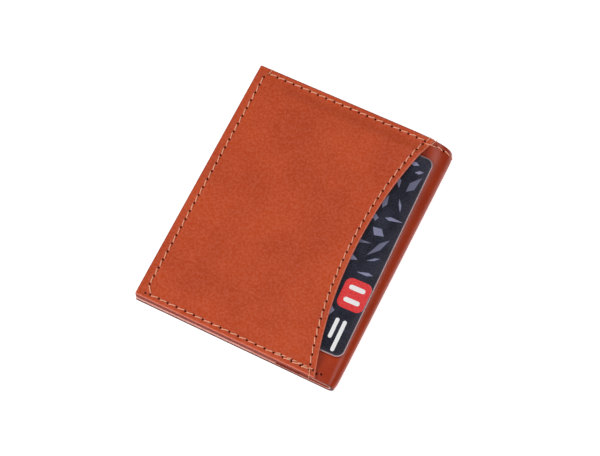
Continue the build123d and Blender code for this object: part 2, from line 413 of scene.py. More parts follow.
def rectangle(s0, s1, y0, y1, s_marks, y_step=1.5, corner=0.4, cut_start=False, cut_end=False):
    """Loop and worked edges of a rectangle whose start or end may be a plain cut where pieces meet."""
    clear, clear_of_cut = 1.2, 0.05  # marks keep this far from the corners
    first_mark = s0 + (clear_of_cut if cut_start else clear)
    last_mark = s1 - (clear_of_cut if cut_end else clear)
    marks = [m for m in s_marks if first_mark < m < last_mark]
    ups = list(span(y0 + clear, y1 - clear, y_step)) + [y1 - clear]

    def turn(cx, cy, first):
        angles = [math.radians(first + a) for a in (0, 22.5, 45, 67.5, 90)]
        return [(cx + corner * math.cos(a), cy + corner * math.sin(a)) for a in angles]

    loop, worked = [], []

    def add(points, is_worked):
        loop.extend(points)
        worked.extend([is_worked] * len(points))

    if cut_start:
        add([(s0, y0)], True)
    else:
        add(turn(s0 + corner, y0 + corner, 180), True)
    add([(m, y0) for m in marks], True)
    if cut_end:
        add([(s1, y0)], False)
        add([(s1, y) for y in ups], False)
        add([(s1, y1)], True)
    else:
        add(turn(s1 - corner, y0 + corner, 270), True)
        add([(s1, y) for y in ups[1:-1]], True)
        add(turn(s1 - corner, y1 - corner, 0), True)
    add([(m, y1) for m in reversed(marks)], True)
    if cut_start:
        add([(s0, y1)], False)
        add([(s0, y) for y in reversed(ups)], False)
    else:
        add(turn(s0 + corner, y1 - corner, 90), True)
        add([(s0, y) for y in reversed(ups[1:-1])], True)
    return loop, worked


def leather_marks():
    """Marks along the leather: wide apart on the flats, close together round the fold."""
    wide, close, beside, beyond = 1.5, 0.42, 0.1, 3.8
    first, last = HALF_FLAT - beyond, HALF_FLAT + FOLD_ROUND + beyond
    marks = [*span(0, first, wide), *span(first, SPLITS[0] - beside, close)]
    marks += [SPLITS[0] - beside, SPLITS[0], SPLITS[0] + beside]
    marks += [*span(SPLITS[0] + beside, SPLITS[1] - beside, close)[1:]]
    marks += [SPLITS[1] - beside, SPLITS[1], SPLITS[1] + beside]
    marks += [*span(SPLITS[1] + beside, last, close)[1:], *span(last, TOTAL, wide)]
    return marks


MARKS = leather_marks()


def grid_for(s0, s1, y0, y1, marks=MARKS, y_step=1.5):
    columns = [m for m in marks if s0 < m < s1]
    return columns, list(span(y0 + 0.6, y1, y_step))


# -------- the fold's stretches and the span over each bend line

STRETCHES = {
    "front": ("front_half", "spine_1", 0.0, SPLITS[0], math.radians(30)),
    "spine": ("spine_1", "spine_2", SPLITS[0], SPLITS[1], math.radians(90)),
    "back": ("spine_2", "back_half", SPLITS[1], TOTAL, math.radians(150)),
}


BEND_CHECKS = (NEAR_Y, NEAR_Y + 2, -20.0, 0.0, 20.0, FAR_Y - 8, FAR_Y - 2, FAR_Y)  # places along the fold
BEND_WIDTH = 1.6
BEND_MARGIN = 0.02  # between the span worked out over the bend line and the line where two stretches meet


def bend(piece, stretch, depths=(0.0, SHELL)):
    """Works out the span over the bend line in its stretch, short of where the stretches meet, then only
    bakes the piece's transform.

    depths are those of the piece's outer and inner faces.
    """
    first, second, start, stop, heading = STRETCHES[stretch]
    middle = {"front": (HALF_FLAT + SPLITS[0]) / 2, "spine": sum(SPLITS) / 2,
              "back": (SPLITS[1] + TOTAL - HALF_FLAT) / 2}[stretch]
    near, far = lay(middle, NEAR_Y, depths[1]), lay(middle, FAR_Y, depths[1])
    way = np.array([math.cos(heading), 0, math.sin(heading)])
    way[1] = -way @ (far - near) / (far[1] - near[1])
    way /= np.linalg.norm(way)
    centre = (near + far) / 2

    def reached(s):
        return [(lay(s, y, d) - centre) @ way for y in BEND_CHECKS for d in depths]

    low = max(reached(start)) + BEND_MARGIN if start in SPLITS else None
    high = min(reached(stop)) - BEND_MARGIN if stop in SPLITS else low + BEND_WIDTH
    low = high - BEND_WIDTH if low is None else low
    if high - low < BEND_MARGIN:
        low, high = (low + high - BEND_MARGIN) / 2, (low + high + BEND_MARGIN) / 2
    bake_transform(piece)
    return piece


# -------- threads

RING, PATH = 12, 13  # points round and along one stitch
STRANDS, STRAND_BULGE, STRAND_TURNS = 3, 0.11, 2.2  # the thread's strands and their twist over one stitch
LEAN = 0.5  # how far a stitch crosses from one side of the hole line to the other
LONGEST_STITCH = 5.0  # holes further apart than this belong to different seams


def tube(path, radius, sideways):
    """Points and faces of a twisted thread: path and sideways are in flat coordinates (u, y, depth)."""
    turns = 2 * math.pi * np.arange(RING) / RING
    along = np.linspace(0, 1, len(path))[:, None]
    strands = 1 + STRAND_BULGE * np.cos(STRANDS * turns[None] - 2 * math.pi * STRAND_TURNS * along)
    across = sideways[None, None] * (radius * strands * np.cos(turns)[None])[..., None]
    up = np.array([0, 0, 1.0])[None, None] * (0.85 * radius * strands * np.sin(turns)[None])[..., None]
    points = (path[:, None, :] + across + up).reshape(-1, 3)
    faces = []
    for i in range(len(path) - 1):
        for k in range(RING):
            a, b = i * RING + k, i * RING + (k + 1) % RING
            faces.append([a, b, b + RING, a + RING])
    faces.append(list(range(RING)))
    faces.append([(len(path) - 1) * RING + k for k in reversed(range(RING))])
    return points, faces


def stitch_path(a, b, level, out, lean, aside):
    """One slanting stitch from hole a to hole b, lying a little aside from the line of the holes."""
    a, b = np.asarray(a, float), np.asarray(b, float)
    way = (b - a) / np.linalg.norm(b - a)
    side = np.array([-way[1], way[0]])
    t = np.linspace(0, 1, PATH)
    shift = aside + lean * (t - 0.5) + 0.03 * np.sin(9 * t + dice.uniform(0, 6))
    middle = a[None] + (b - a)[None] * (0.1 + 0.8 * t)[:, None] + side[None] * shift[:, None]
    height = 0.12 - 0.62 * np.abs(2 * t - 1) ** 7 + dice.uniform(-0.02, 0.02)
    depth = np.array([level(*p) for p in middle]) + out * height
    return np.column_stack([middle, depth]), np.array([*side, 0])


def thread(name, runs, material, place=lay, loops=()):
    """All stitches of a seam, and its loops over the edges.

    Each run is (holes, level, out, aside): level gives the face's depth and out is -1 on an outer face.
    """
    made = []
    for holes, level, out, aside in runs:
        for a, b in zip(holes[:-1], holes[1:]):
            if np.hypot(*(np.array(b) - a)) < LONGEST_STITCH:
                path, side = stitch_path(a, b, level, out, LEAN * dice.uniform(0.8, 1.2), aside)
                made.append(tube(path, THREAD_RADIUS * dice.uniform(0.92, 1.06), side))
    made += [tube(path, 0.75 * THREAD_RADIUS, side) for path, side in loops]
    points, faces, total = [], [], 0
    for tube_points, quads in made:
        points.append(tube_points)
        faces += [[i + total for i in quad] for quad in quads]
        total += len(tube_points)
    points = np.concatenate(points)
    where = place(points[:, 0], points[:, 1], points[:, 2])
    return make_mesh(name, where, faces, material, {"flat": points}, sharp_over=80)


# -------- materials


def linear(red, green, blue):
    """Linear colour from the 0 to 255 values of a screen colour."""
    values = [c / 255 for c in (red, green, blue)]
    return tuple(c / 12.92 if c < 0.04045 else ((c + 0.055) / 1.055) ** 2.4 for c in values) + (1.0,)


class Shader:
    """A material and short ways to add nodes to it."""

    def __init__(self, name):
        self.material = bpy.data.materials.new(name)
        self.material.use_nodes = True
        self.tree = self.material.node_tree
        self.surface = self.tree.nodes["Principled BSDF"]

    def add(self, kind, inputs=None, **settings):
        node = self.tree.nodes.new("ShaderNode" + kind)
        for key, value in settings.items():
            setattr(node, key, value)
        self.feed(node, inputs or {})
        return node

    def feed(self, node, inputs):
        for key, value in inputs.items():
            if isinstance(value, bpy.types.NodeSocket):
                self.tree.links.new(value, node.inputs[key])
            else:
                node.inputs[key].default_value = value

    def attribute(self, name, vector=False):
        node = self.add("Attribute", attribute_name=name)
        return node.outputs["Vector" if vector else "Fac"]

    def scaled(self, vector, scale):
        node = self.add("VectorMath", {0: vector, 1: scale}, operation="MULTIPLY")
        return node.outputs["Vector"]

    def noise(self, vector, scale, detail=3.0, rough=0.55):
        node = self.add("TexNoise", {"Vector": vector, "Scale": scale, "Detail": detail, "Roughness": rough})
        return node.outputs["Fac"]

    def ramp(self, value, low, high, low_to=0.0, high_to=1.0):
        inputs = {"Value": value, "From Min": low, "From Max": high, "To Min": low_to, "To Max": high_to}
        return self.add("MapRange", inputs, interpolation_type="SMOOTHSTEP").outputs["Result"]

    def mix(self, share, first, second):
        node = self.add("Mix", data_type="RGBA")
        self.feed(node, {0: share, 6: first, 7: second})
        return node.outputs[2]

    def math(self, operation, first, second):
        return self.add("Math", {0: first, 1: second}, operation=operation).outputs[0]

    def bump(self, height, distance, strength=1.0, after=None):
        inputs = {"Height": height, "Distance": distance * MM, "Strength": strength}
        if after is not None:
            inputs["Normal"] = after
        return self.add("Bump", inputs).outputs["Normal"]


def leather(name, light, deep, edge, cut, shaded_cut, grain=1.0, gloss=0.36, coat=0.1, sheen=0.0):
    """Smooth waxed leather: cloudy dye, fine pores, edges with real wear and with painted highlight and
    shade, and needle holes painted dark as shade.
    """
    shader = Shader(name)
    flat = shader.attribute("flat", vector=True)
    cloud = shader.noise(flat, 0.045, 4.0)
    fleck = shader.noise(flat, 1.1, 3.0)
    pores = shader.add("TexVoronoi", {"Vector": flat, "Scale": 2.3, "Randomness": 1.0}, feature="F1")
    pores = shader.ramp(pores.outputs["Distance"], 0.05, 0.55)
    fine = shader.noise(flat, 3.4, 5.0, 0.65)
    colour = shader.mix(shader.ramp(cloud, 0.32, 0.68), linear(*deep), linear(*light))
    colour = shader.mix(shader.ramp(fleck, 0.3, 0.75, 0.0, 0.16), colour, linear(*edge))
    colour = shader.mix(shader.ramp(pores, 0.0, 0.4, 0.10, 0.0), colour, linear(70, 18, 8))
    # Rim in the edge colour: real wear, and painted highlight and shade on the outer pocket and the slots.
    rubbed_and_lit = shader.math("MULTIPLY", shader.attribute("rim_wear_and_light"), shader.ramp(fleck, 0.2, 0.8, 0.55, 0.95))
    colour = shader.mix(rubbed_and_lit, colour, linear(*edge))
    # Cut edge painted from the shaded cut colour to the lit one: painted shade and highlight on the stacked
    # edges.
    cut_shading = shader.mix(shader.attribute("cut_light"), linear(*shaded_cut), linear(*cut))
    colour = shader.mix(shader.attribute("cut"), colour, cut_shading)
    # Painted shade: the needle holes are painted near black, standing for the dark inside each hole.
    colour = shader.mix(shader.attribute("hole"), colour, linear(22, 2, 1))
    relief = shader.math("ADD", shader.math("MULTIPLY", pores, 0.6), fine)
    rough = shader.ramp(fine, 0.25, 0.75, gloss - 0.05, gloss + 0.09)
    dull = shader.math("MAXIMUM", shader.attribute("hole"), shader.attribute("cut"))
    rough = shader.math("MAXIMUM", rough, shader.math("MULTIPLY", dull, 0.85))
    shader.feed(shader.surface, {
        "Base Color": colour,
        "Roughness": rough,
        "Normal": shader.bump(relief, 0.012 * grain),
        "Specular IOR Level": shader.ramp(shader.attribute("hole"), 0.1, 0.7, 0.3, 0.0),
        "Coat Weight": shader.ramp(shader.attribute("hole"), 0.1, 0.7, coat, 0.0),
        "Coat Roughness": 0.22,
        "Sheen Weight": sheen,
        "Sheen Roughness": 0.35,
        "Sheen Tint": (1.0, 0.8, 0.8, 1.0),
    })
    return shader.material


def thread_material():
    """Waxed polyester thread with fine fibres along it."""
    shader = Shader("waxed_thread")
    flat = shader.attribute("flat", vector=True)
    fibre = shader.noise(shader.scaled(flat, (1.0, 1.0, 6.0)), 4.0, 3.0)
    colour = shader.mix(shader.ramp(fibre, 0.3, 0.7), linear(226, 146, 112), linear(252, 192, 160))
    shader.feed(shader.surface, {
        "Base Color": colour,
        "Roughness": shader.ramp(fibre, 0.3, 0.7, 0.5, 0.7),
        "Normal": shader.bump(fibre, 0.03),
        "Specular IOR Level": 0.35,
    })
    return shader.material


def card_material():
    """Laminated card: charcoal print under a clear gloss, with a pale core at the edge."""
    shader = Shader("card_print")
    flat = shader.attribute("flat", vector=True)
    dust = shader.noise(flat, 1.6, 4.0)
    cloud = shader.noise(flat, 0.12, 2.0)
    colour = shader.mix(shader.ramp(cloud, 0.35, 0.65), linear(28, 30, 42), linear(42, 44, 58))
    colour = shader.mix(shader.attribute("tone"), colour, linear(150, 150, 182))
    colour = shader.mix(shader.ramp(dust, 0.45, 0.8, 0.0, 0.05), colour, linear(120, 116, 130))
    colour = shader.mix(shader.attribute("rim_wear_and_light"), colour, linear(205, 180, 184))
    shader.feed(shader.surface, {
        "Base Color": colour,
        "Roughness": shader.ramp(dust, 0.3, 0.7, 0.24, 0.34),
        "Normal": shader.bump(dust, 0.002),
        "Specular IOR Level": 0.3,
        "Coat Weight": 0.15,
        "Coat Roughness": 0.1,
    })
    return shader.material


def print_material(name, colour, dusty):
    """Printed ink under the card's laminate, with a faint unevenness."""
    shader = Shader(name)
    flat = shader.attribute("flat", vector=True)
    dust = shader.noise(flat, 1.2, 4.0)
    shader.feed(shader.surface, {
        "Base Color": shader.mix(shader.ramp(dust, 0.3, 0.8, 0.0, 0.25), linear(*colour), linear(*dusty)),
        "Roughness": shader.ramp(dust, 0.3, 0.7, 0.24, 0.34),
        "Normal": shader.bump(dust, 0.004),
        "Coat Weight": 0.5,
        "Coat Roughness": 0.12,
    })
    return shader.material


def chip_material():
    """Gold-plated contacts: brushed plate with dark parting lines."""
    shader = Shader("chip_gold")
    flat = shader.attribute("flat", vector=True)
    brushed = shader.noise(shader.scaled(flat, (8.0, 0.6, 1.0)), 1.0, 4.0)
    lines = shader.add("TexBrick", {
        "Vector": flat, "Scale": 0.28, "Mortar Size": 0.02, "Color1": (0, 0, 0, 1), "Color2": (0, 0, 0, 1),
        "Mortar": (1, 1, 1, 1)}).outputs["Fac"]
    colour = shader.mix(shader.ramp(brushed, 0.3, 0.7), linear(206, 168, 92), linear(236, 206, 138))
    shader.feed(shader.surface, {
        "Base Color": shader.mix(lines, colour, linear(60, 44, 24)),
        "Metallic": 1.0,
        "Roughness": shader.ramp(brushed, 0.3, 0.7, 0.25, 0.42),
        "Normal": shader.bump(brushed, 0.01),
    })
    return shader.material


# Cut-edge colours of the edges stacked at the near end: SALMON_CUT and PALE_CUT are painted highlight,
# RED_CUT and PURPLE_CUT painted shade, and COVER_CUT is the back cover's red between them.
RED_CUT, PURPLE_CUT, PALE_CUT = (108, 28, 20), (54, 14, 24), (250, 190, 176)
SALMON_CUT, COVER_CUT = (214, 108, 84), (136, 40, 28)
SHELL_LEATHER = leather("shell_leather", (170, 52, 10), (157, 43, 6), (176, 80, 52), COVER_CUT, PURPLE_CUT,
                        gloss=0.3, coat=0.14, sheen=0.1)
# The outer pocket's pale edge colour is painted highlight on its rim at the mouth and near edge; it also
# lightens its flecks.
PANEL_LEATHER = leather("pocket_leather", (191, 70, 25), (179, 61, 19), (246, 150, 124), SALMON_CUT,
                        PURPLE_CUT)
# The slot leather comes in lit and shaded copies that differ only in rim and cut-edge colour: the front
# half's first slot is painted dark as shade, the other front slots pale as highlight, and the back slots red
# as shade.
SLOT_LIGHT, SLOT_DEEP, SLOT_GRAIN, SLOT_GLOSS = (188, 76, 40), (170, 62, 30), 1.2, 0.46
SLOT_LEATHER = {
    key: leather(f"{key}_slot_leather", SLOT_LIGHT, SLOT_DEEP, edge, cut, cut, SLOT_GRAIN, SLOT_GLOSS)
    for key, edge, cut in (
        ("front_shaded", (120, 50, 40), PURPLE_CUT),
        ("front", (236, 160, 140), PALE_CUT),
        ("back", (190, 96, 70), RED_CUT),
    )
}
DIVIDER_LEATHER = leather("divider_leather", (180, 82, 54), (156, 66, 42), (206, 124, 100), PALE_CUT, RED_CUT,
                          2.0, 0.6)
THREAD = thread_material()
CARD_PRINT = card_material()
EMBLEM_RED = print_material("emblem_red", (226, 52, 56), (236, 100, 98))
PRINT_WHITE = print_material("print_white", (244, 243, 244), (214, 212, 216))
CHIP_GOLD = chip_material()

# -------- needle holes


def even(first, last, pitch):
    """Positions from first to last, evenly spaced at about the pitch."""
    count = round(abs(last - first) / pitch)
    return [first + (last - first) * k / count for k in range(count + 1)]


# Where each row starts and ends follows the photo: distances from the free edge, or from the two ends
near_line, far_line = NEAR_Y + END_INSET, FAR_Y - END_INSET
near_seam_end, far_seam_end = (float(mouth(y, MOUTH_INSET)) for y in (near_line, far_line))
free_holes = [(FREE_INSET, y) for y in even(NEAR_Y + 5.8, FAR_Y - 4.0, FREE_PITCH)]
near_holes = [(e, near_line) for e in even(5.44, near_seam_end - 0.2, NEAR_PITCH)]
far_holes = [(e, far_line) for e in even(4.6, far_seam_end - 0.2, FAR_PITCH)]
mouth_holes = [(float(mouth(y, MOUTH_INSET)), y) for y in even(near_line + 1.9, far_line - 1.4, MOUTH_PITCH)]
extra_holes = [(3.55, NEAR_Y + 1.89)]
corner_holes = [near_holes[0], free_holes[0]]
back_stitch = [(e, near_line + 0.42) for e in even(57.5, near_seam_end + 1.2, NEAR_PITCH * 0.62)]
panel_holes = free_holes + near_holes + far_holes + mouth_holes + extra_holes + back_stitch[1::2]
shell_far_holes = [(s, far_line) for s in even(5.0, TOTAL - 75.4, FAR_PITCH)]
shell_free_holes = [(FREE_INSET, y) for y in even(NEAR_Y + 3.0, FAR_Y - 4.0, FREE_PITCH)]
shell_near_holes = [(TOTAL - 74.6, NEAR_Y + 2.1), (TOTAL - 76.3, NEAR_Y + 2.7)]
slot_near_holes = [(e, INNER_NEAR_Y + END_INSET) for e in even(5.44, SLOT_REACH[0] - 1.6, NEAR_PITCH)]
lining_free_holes = [(FREE_INSET, y) for y in even(INNER_NEAR_Y + 5.4, FAR_Y - 4.0, FREE_PITCH)]

# -------- shell and divider


def shell_cut_light(flat):
    """The shell's cut edge is painted red beside the outer pocket and darker round the fold and in front, as
    painted shade.
    """
    return smooth((flat[:, 0] - SPLITS[1] - 2) / 6)


def divider_cut_light(flat):
    """The divider's cut edge is painted pale as highlight in the front half and round the fold, and red as
    shade in the back half.
    """
    return smooth((HALF_FLAT + FOLD_ROUND + 8 - flat[:, 0]) / 2)


def stretch_piece(layer, stretch, near, depths, bevel, material, cut_light, outer=None, inner=None):
    """One stretch of a layer that crosses the fold."""
    _, _, start, stop, _ = STRETCHES[stretch]
    cut_start, cut_end = start in SPLITS, stop in SPLITS
    loop, worked = rectangle(start, stop, near, FAR_Y, MARKS, cut_start=cut_start, cut_end=cut_end)
    piece = sheet(f"{layer}_{stretch}", loop, worked, depths, bevel, material,
                  grid_for(start, stop, near, FAR_Y), outer=outer, inner=inner, cut_light=cut_light)
    return bend(piece, stretch, depths)


def between(holes, start, stop, clear=0.9):
    """The holes that lie clear of both ends of a stretch."""
    return [h for h in holes if start + clear < h[0] < stop - clear]


def stood_for(stretch, shell):
    """CAD nodes that a stretch of the shell or of the divider stands for."""
    if stretch == "spine":
        return [f"spine_{'shell' if shell else 'divider'}_{k}" for k in (1, 2)]
    return [f"{stretch}_{'cover' if shell else 'divider'}"]


shell_outer = {
    "front": shell_free_holes + shell_far_holes,
    "spine": shell_far_holes,
    "back": shell_far_holes + shell_near_holes,
}
for stretch, (_, _, start, stop, _) in STRETCHES.items():
    holes = between(shell_outer[stretch], start, stop)
    along = [h for h in holes if h[1] == far_line]
    face = Face(holes, seam_lines(along) + seam_lines([h for h in holes if h[0] == FREE_INSET]))
    piece = stretch_piece("shell", stretch, NEAR_Y, (0.0, SHELL), SHELL_BEVEL, SHELL_LEATHER, shell_cut_light,
                          outer=face)
    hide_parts(*stood_for(stretch, True))

    fold_holes = [(s, y) for s, y in shell_far_holes if SLOT_REACH[0] + 1 < s < TOTAL - SLOT_REACH[0] - 1]
    holes = between(fold_holes, start, stop)
    face = Face(holes, seam_lines(holes))
    piece = stretch_piece("divider", stretch, INNER_NEAR_Y, DIVIDER, DIVIDER_BEVEL, DIVIDER_LEATHER,
                          divider_cut_light, inner=face)
    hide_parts(*stood_for(stretch, False))

# -------- card slots


def crease(reach, inset=1.6):
    """Points of the line pressed along a slot's mouth."""
    return [(reach - inset, y) for y in even(INNER_NEAR_Y + 0.8, FAR_Y - 0.8, 0.8)]


def slot_pocket(half, index):
    """One card slot. The innermost shows all its seams, the ones below only past its mouth."""
    reach, depths = SLOT_REACH[index], SLOT_DEPTH[index]
    covered = SLOT_REACH[index + 1] if index < 2 else 0.0
    ends = slot_near_holes + [(s, y) for s, y in shell_far_holes if s < reach]
    holes = between(ends, covered, reach, 0.8)
    holes += lining_free_holes if index == 2 else []
    marks = [*span(0, reach - 3, 1.5), reach - 3, reach - 2.2, reach - 1.6, reach - 1.0]
    loop, worked = rectangle(0, reach, INNER_NEAR_Y, FAR_Y, marks)
    rows = [[h for h in holes if h[1] == y] for y in (INNER_NEAR_Y + END_INSET, far_line)]
    rows += [lining_free_holes] if index == 2 else []
    lines = all_seam_lines(rows[:2]) + crease(reach) + all_seam_lines(rows[2:])
    place = lay if half == "front" else lay_back
    # Painted shade on the front half's first slot and painted highlight on the other front slots; the back
    # slots take the shaded red copy.
    material = SLOT_LEATHER["front_shaded" if (half, index) == ("front", 0) else half]
    piece = sheet(f"{half}_slot_{index + 1}", loop, worked, depths, SLOT_BEVEL, material,
                  grid_for(0, reach, INNER_NEAR_Y, FAR_Y, marks), place=place, inner=Face(holes, lines),
                  wear_and_light=lambda flat: 0.9)
    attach(piece, f"{half}_half")
    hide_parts(f"{half}_slot_pocket_{index + 1}")


for half in ("front", "back"):
    for index in range(3):
        slot_pocket(half, index)

# -------- outer pocket


def panel_loop(corner=0.5):
    """Outline of the outer pocket, with its concave mouth."""
    near_end, far_end = float(mouth(NEAR_Y)), float(mouth(FAR_Y))
    quarter = [math.radians(a) for a in (0, 30, 60, 90)]
    loop = [(corner - corner * math.cos(a), NEAR_Y + corner - corner * math.sin(a)) for a in quarter]
    loop += [(e, NEAR_Y) for e in span(1.4, near_end - 0.6, 1.2)]
    loop += [(near_end - 0.3, NEAR_Y), (float(mouth(NEAR_Y + 0.35)), NEAR_Y + 0.35)]
    loop += [(float(mouth(y)), y) for y in span(NEAR_Y + 1.2, FAR_Y - 1.2, 1.2)]
    loop += [(float(mouth(FAR_Y - 0.35)), FAR_Y - 0.35), (far_end - 0.3, FAR_Y)]
    loop += [(e, FAR_Y) for e in span(far_end - 1.0, 1.6, 1.2)]
    loop += [(corner - corner * math.sin(a), FAR_Y - corner + corner * math.cos(a)) for a in quarter]
    loop += [(0, y) for y in span(FAR_Y - 1.6, NEAR_Y + 1.6, 1.2)]
    return loop


def lay_panel(e, y, depth):
    """Places of the outer pocket's points: depth 0 is its underside."""
    return lay_back(e, y, depth - crown(e, y))


panel_marks = [*span(0.6, 13, 0.9), *span(13, 60, 1.3), *span(60, 75, 0.9)]
panel_rows = [*span(NEAR_Y + 0.6, NEAR_Y + 10, 0.9), *span(NEAR_Y + 10, FAR_Y - 10, 1.3)]
panel_rows += span(FAR_Y - 10, FAR_Y, 0.9).tolist()


def panel_lit_edges(flat):
    """The mouth and the near edge are painted pale in rim and cut edge as highlight; the free and far edges
    are painted dark as shade.
    """
    at_mouth = smooth(1 - (mouth(np.clip(flat[:, 1], NEAR_Y, FAR_Y)) - flat[:, 0]) / 2)
    return np.maximum(at_mouth, smooth(1 - (flat[:, 1] - NEAR_Y) / 2))


panel_lines = all_seam_lines([free_holes, near_holes, far_holes, mouth_holes])
loop = panel_loop()
panel = sheet("outer_pocket", loop, [True] * len(loop), (-PANEL, 0.0), PANEL_BEVEL, PANEL_LEATHER,
              (panel_marks, panel_rows), place=lay_panel, outer=Face(panel_holes, panel_lines),
              wear_and_light=panel_lit_edges, cut_light=panel_lit_edges, rim_width=0.34)
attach(panel, "back_half")
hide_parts("pocket_panel")

# -------- card


def on_card(u, v, depth):
    """Places of card points: u across and v along the card from its middle, depth below its printed face."""
    u, v, depth = (np.asarray(a, float) for a in (u, v, depth))
    x = CARD_CENTRE[0] + u * math.cos(CARD_TILT) - v * math.sin(CARD_TILT)
    y = CARD_CENTRE[1] + u * math.sin(CARD_TILT) + v * math.cos(CARD_TILT)
    height = back_height(x - FREE_X, y) + CARD_PLAY + CARD_THICKNESS
    return np.stack([x, y, height - depth], axis=-1)


def rounded(centre, size, corner, step=4.0):
    """Loop of a rounded rectangle."""
    (cu, cv), (width, length) = centre, size
    loop = []
    for su, sv, first in ((1, -1, 270), (1, 1, 0), (-1, 1, 90), (-1, -1, 180)):
        mid = (cu + su * (width / 2 - corner), cv + sv * (length / 2 - corner))
        angles = [math.radians(first + 90 * k / 8) for k in range(9)]
        loop += [(mid[0] + corner * math.cos(a), mid[1] + corner * math.sin(a)) for a in angles]
    full = []
    for here, there in zip(loop, loop[1:] + loop[:1]):
        gap = math.hypot(there[0] - here[0], there[1] - here[1])
        count = max(1, round(gap / step))
        full += [(here[0] + (there[0] - here[0]) * k / count, here[1] + (there[1] - here[1]) * k / count)
                 for k in range(count)]
    return full


def card_piece(name, centre, size, corner, depths, bevel, material, step=4.0):
    """A rounded plate on or in the card, which rides with it."""
    loop = rounded(centre, size, corner, step)
    columns = list(span(centre[0] - size[0] / 2 + step / 2, centre[0] + size[0] / 2, step))
    rows = list(span(centre[1] - size[1] / 2 + step / 2, centre[1] + size[1] / 2, step))
    piece = sheet(name, loop, [True] * len(loop), depths, bevel, material, (columns, rows), place=on_card,
                  wear_and_light=lambda flat: 1.0, rim_width=0.24)
    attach(piece, "card")
    return piece


def card_uv(x, y):
    """Card coordinates of a place given from the wallet's free edge and near end."""
    x, y = x + FREE_X - CARD_CENTRE[0], y + NEAR_Y - CARD_CENTRE[1]
    across, along = math.cos(CARD_TILT), math.sin(CARD_TILT)
    return x * across + y * along, y * across - x * along


INK = 0.03  # how far print stands on the card
EMBLEM_AT, LABEL_AT = card_uv(73.9, 35.1), card_uv(74.1, 18.3)
PRINTED = ((EMBLEM_AT, 8.5), (LABEL_AT, 7.5))  # kept clear of the pattern
SHARD_COUNT, SHARD_GAP = 85, 1.5
SHARD_MARGIN = 0.7  # kept clear along the card's edge
EMBLEM_SIZE, EMBLEM_CORNER = (10.6, 12.2), 2.6
EMBLEM_BAR, EMBLEM_BAR_SHIFT = (6.4, 1.9), 2.6
LABEL_WIDTH, LABEL_SHIFT = 1.5, 1.5
LABEL_LENGTHS = (12.8, 8.4)
CHIP_SIZE, CHIP_CORNER = (9.5, 12.0), 1.5
CHIP_AT = CARD_SHORT / 2 - 24, CARD_LONG / 2 - 16


def shards(name):
    """The card's faceted pattern: thin slivers of paler print scattered over it."""
    points, faces, tones, taken = [], [], [], []
    while len(faces) < SHARD_COUNT:
        u, v = (0.5 - dice.random() ** 2) * CARD_SHORT, dice.uniform(-0.5, 0.5) * CARD_LONG
        heading, length, width = dice.uniform(0, 2 * math.pi), dice.uniform(3, 12), dice.uniform(1.0, 4.4)
        along = np.array([math.cos(heading), math.sin(heading)])
        across = np.array([-along[1], along[0]])
        waist = dice.uniform(0.25, 0.7)
        corners = [(0, 0), (waist, 0.5), (1, dice.uniform(-0.2, 0.2)), (waist * 0.8, -0.5)]
        outline = [np.array([u, v]) + along * length * a + across * width * c for a, c in corners]
        half_width, half_length = CARD_SHORT / 2 - SHARD_MARGIN, CARD_LONG / 2 - SHARD_MARGIN
        off_card = any(abs(p[0]) > half_width or abs(p[1]) > half_length for p in outline)
        printed = any(math.dist(p, spot) < reach for p in outline for spot, reach in PRINTED)
        marks = outline + [(a + b) / 2 for a, b in zip(outline, outline[1:] + outline[:1])]
        crowded = any(math.dist(p, q) < SHARD_GAP for p in marks for q in taken)
        if off_card or printed or crowded:
            continue
        taken += marks
        first, tone, depth = len(points), dice.uniform(0.45, 1.0), -0.002 - 0.0002 * len(faces)
        points += [(*p, depth) for p in outline]
        tones += [tone * dice.uniform(0.8, 1.0) for _ in outline]
        faces.append([first + k for k in range(4)])
    flat = np.array(points)
    attributes = {"flat": flat, "tone": tones}
    piece = make_mesh(name, on_card(flat[:, 0], flat[:, 1], flat[:, 2]), faces, CARD_PRINT, attributes)
    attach(piece, "card")
    return piece


card = card_piece("bank_card", (0, 0), (CARD_SHORT, CARD_LONG), CARD_CORNER, (0, CARD_THICKNESS), 0.16,
                  CARD_PRINT)
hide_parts("card")
shards("card_facets")
chip = card_piece("contact_plate", CHIP_AT, CHIP_SIZE, CHIP_CORNER, (-0.02, 0.1), 0.02, CHIP_GOLD,
                  2.0)
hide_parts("card_chip")
card_piece("card_emblem", EMBLEM_AT, EMBLEM_SIZE, EMBLEM_CORNER, (-INK, 0.02), 0.01, EMBLEM_RED,
           2.0)
for number, shift in enumerate((-EMBLEM_BAR_SHIFT, EMBLEM_BAR_SHIFT), 1):
    card_piece(f"card_emblem_bar_{number}", (EMBLEM_AT[0], EMBLEM_AT[1] + shift), EMBLEM_BAR, 0.9,
               (-2 * INK, 0.0), 0.01, PRINT_WHITE, 1.0)
for number, (shift, length) in enumerate(zip((LABEL_SHIFT, -LABEL_SHIFT), LABEL_LENGTHS), 1):
    bar_at = LABEL_AT[0] + shift, LABEL_AT[1] + (LABEL_LENGTHS[0] - length) / 2
    card_piece(f"card_label_bar_{number}", bar_at, (LABEL_WIDTH, length), 0.7, (-INK, 0.02), 0.01,
               PRINT_WHITE, 1.0)

# -------- seams


def at_depth(depth):
    """The level of a face that lies at one depth."""
    return lambda u, y: depth


def lining(e, _y):
    """The level of the face that shows inside the wallet."""
    return lining_depth(e)


ASIDE = 0.11  # how far a stitch's middle lies outside the line of its holes


def through(stops, count):
    """A path of evenly shared points through the stops."""
    stops, marks = np.array(stops), np.linspace(0, len(stops) - 1, count)
    return np.stack([np.interp(marks, range(len(stops)), stops[:, k]) for k in range(3)], 1)


